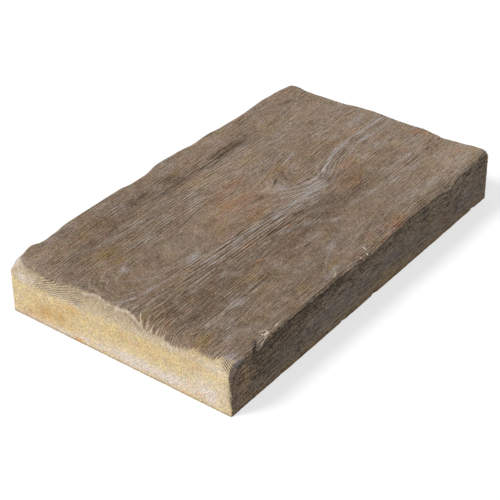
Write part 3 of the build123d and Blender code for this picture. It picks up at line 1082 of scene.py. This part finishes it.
def face_colour(graph, lines, grains, masks):
    """Painted face: tone from streaks, fibres, crests and sand, then dabs, grey pigment and painted shade
    in cracks.
    """
    strength = graph.times_add(masks["lines"], 0.8, 0.18)
    along = centred_sum(graph, 0.0, [(lines["Streak"], 0.45), (lines["Fibre"], 2.5)])
    along = graph.times_add(lines["Thread"], 0.3, along)
    along = graph.times_add(lines["Scratch"], -0.3, along)
    crest = graph.times(graph.math("SUBTRACT", lines["Crest"], 0.6), masks["lines"])
    tone = graph.times_add(along, strength, graph.math("ADD", masks["shade"], 0.5))
    tone = graph.times_add(crest, 0.8, tone)
    tone = centred_sum(graph, tone, [(grains["Grain"], 1.1), (grains["Cloud"], 0.35)])
    face = graph.mix(graph.rise(tone, 0.0, 0.5), FACE_DEEP, FACE_BROWN)
    face = graph.mix(graph.rise(tone, 0.5, 1.0), face, FACE_LIGHT)
    face = graph.mix(0.15, face, grains["Tint"], "OVERLAY")
    face = stained(graph, face, masks)
    grip = graph.times(masks["pale"], graph.times_add(graph.rise(tone, 0.2, 0.9), 0.75, 0.25))
    grip = graph.times_add(graph.times(lines["Thread"], strength), 0.14, grip)
    return cracked(graph, graph.mix(graph.capped(grip, 0.85), face, GREY_PIGMENT), masks)


def wall_colour(graph, lines, grains, masks):
    """Painted long wall: darker brown, partly painted shade, streaked along the length, with dabs and
    ochre specks.
    """
    tone = graph.math("ADD", masks["shade"], 0.45)
    tone = centred_sum(graph, tone, [(lines["Streak"], 0.4), (lines["Fibre"], 4.2)])
    tone = centred_sum(graph, tone, [(grains["Grain"], 2.2), (grains["Cloud"], 0.3)])
    wall = graph.mix(graph.rise(tone, -0.1, 1.1), WALL_DARK, WALL_LIGHT)
    wall = stained(graph, wall, masks)
    wall = graph.mix(graph.times(graph.capped(masks["pale"], 1.0), 0.5), wall, WALL_GREY)
    return cracked(graph, graph.mix(graph.times(grains["Specks"], 0.35), wall, WALL_SPECK), masks)


def body_colour(graph, grains, masks):
    """Bare cast body: sandy yellow to grey in clouds, patches of ochre, white and orange, and grains."""
    body = graph.mix(graph.times(graph.rise(grains["Cloud"], 0.3, 0.75), 0.8), BODY_SAND, BODY_GREY)
    body = graph.mix(0.25, body, grains["Tint"], "OVERLAY")
    body = graph.mix(masks["top"], body, BODY_ROLL)
    for name, most, tint in BODY_DABS:
        body = graph.mix(graph.capped(masks[name], most), body, tint)
    body = graph.dimmed(body, graph.times_add(grains["Grain"], 1.1, 0.42))
    body = graph.mix(graph.times(grains["Specks"], 0.3), body, BODY_DEEP)
    return graph.mix(graph.times(graph.capped(masks["dark"], 1.0), 0.5), body, CONTOUR_DARK)


def finish_material(graph, output, base, rough, surface):
    """The Principled surface of a material, with its finest relief, in millimetres, as bump."""
    bump = graph.add("ShaderNodeBump", {"Height": surface, "Distance": MM, "Strength": 1.0})
    inputs = {"Base Color": base, "Roughness": rough, "Specular IOR Level": SPECULAR, "Normal": bump}
    graph.feed(output.inputs[0], graph.add("ShaderNodeBsdfPrincipled", inputs))


def stone_material():
    """Face and body in one material, joined by the bare mask, with the finest relief as bump."""
    material, graph, output = new_material("weathered_cast_stone")
    place = millimetres(graph)
    along = graph.add("ShaderNodeSeparateXYZ", {0: place}, "X")
    masks = {name: graph.attribute(name) for name in carried}
    lines = use_group(graph, growth_lines, {"Ring": masks["ring"], "Along": along})
    fine = use_group(graph, sand, {"Place": place, "Grain Size": 1.2})
    coarse = use_group(graph, sand, {"Place": place, "Grain Size": 1.1})
    face = face_colour(graph, lines, fine, masks)
    face = graph.mix(masks["long_wall"], face, wall_colour(graph, lines, fine, masks))
    ragged = centred_sum(graph, 0.0, [(lines["Comb"], 12.0), (lines["Crest"], 3.0)])
    ragged = centred_sum(graph, graph.times(ragged, masks["fringe"]), [(fine["Grain"], 3.0)])
    border = graph.rise(graph.math("ADD", masks["bare"], ragged), -3.0, 3.0)
    final = graph.mix(border, face, body_colour(graph, coarse, masks))
    contour = graph.rise(graph.math("COSINE", graph.times(masks["hatch"], 2 * math.pi)), -0.3, 0.9)
    contour = graph.times(contour, masks["hatched"])
    final = graph.mix(graph.times(contour, 0.8), final, CONTOUR_DARK)
    grooves = graph.times(graph.times(lines["Crest"], masks["lines"]), 0.12)
    surface = graph.times_add(lines["Fibre"], 0.25, grooves)
    surface = graph.times_add(fine["Grain"], 0.4, surface)
    surface = graph.times_add(fine["Pits"], -0.3, surface)
    finish_material(graph, output, final, graph.times_add(fine["Grain"], 0.15, 0.8), surface)
    return material


def bed_material():
    """The bed as it left the mould's open side: plain pale concrete with sand and pits."""
    material, graph, output = new_material("plain_cast_bed")
    place = millimetres(graph)
    fine = use_group(graph, sand, {"Place": place, "Grain Size": 1.6})
    grey = graph.mix(graph.rise(fine["Cloud"], 0.35, 0.65), colour(196, 186, 166), colour(176, 168, 152))
    grey = graph.dimmed(grey, graph.times_add(fine["Grain"], 0.4, 0.8))
    surface = graph.times_add(fine["Pits"], -0.8, graph.times(fine["Grain"], 0.3))
    finish_material(graph, output, grey, 0.92, surface)
    return material


mesh.materials.append(stone_material())
mesh.materials.append(bed_material())
print("materials:", [material.name for material in mesh.materials])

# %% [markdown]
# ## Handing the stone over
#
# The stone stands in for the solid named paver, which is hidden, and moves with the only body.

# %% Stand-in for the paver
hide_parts("paver")
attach(stone, "root")
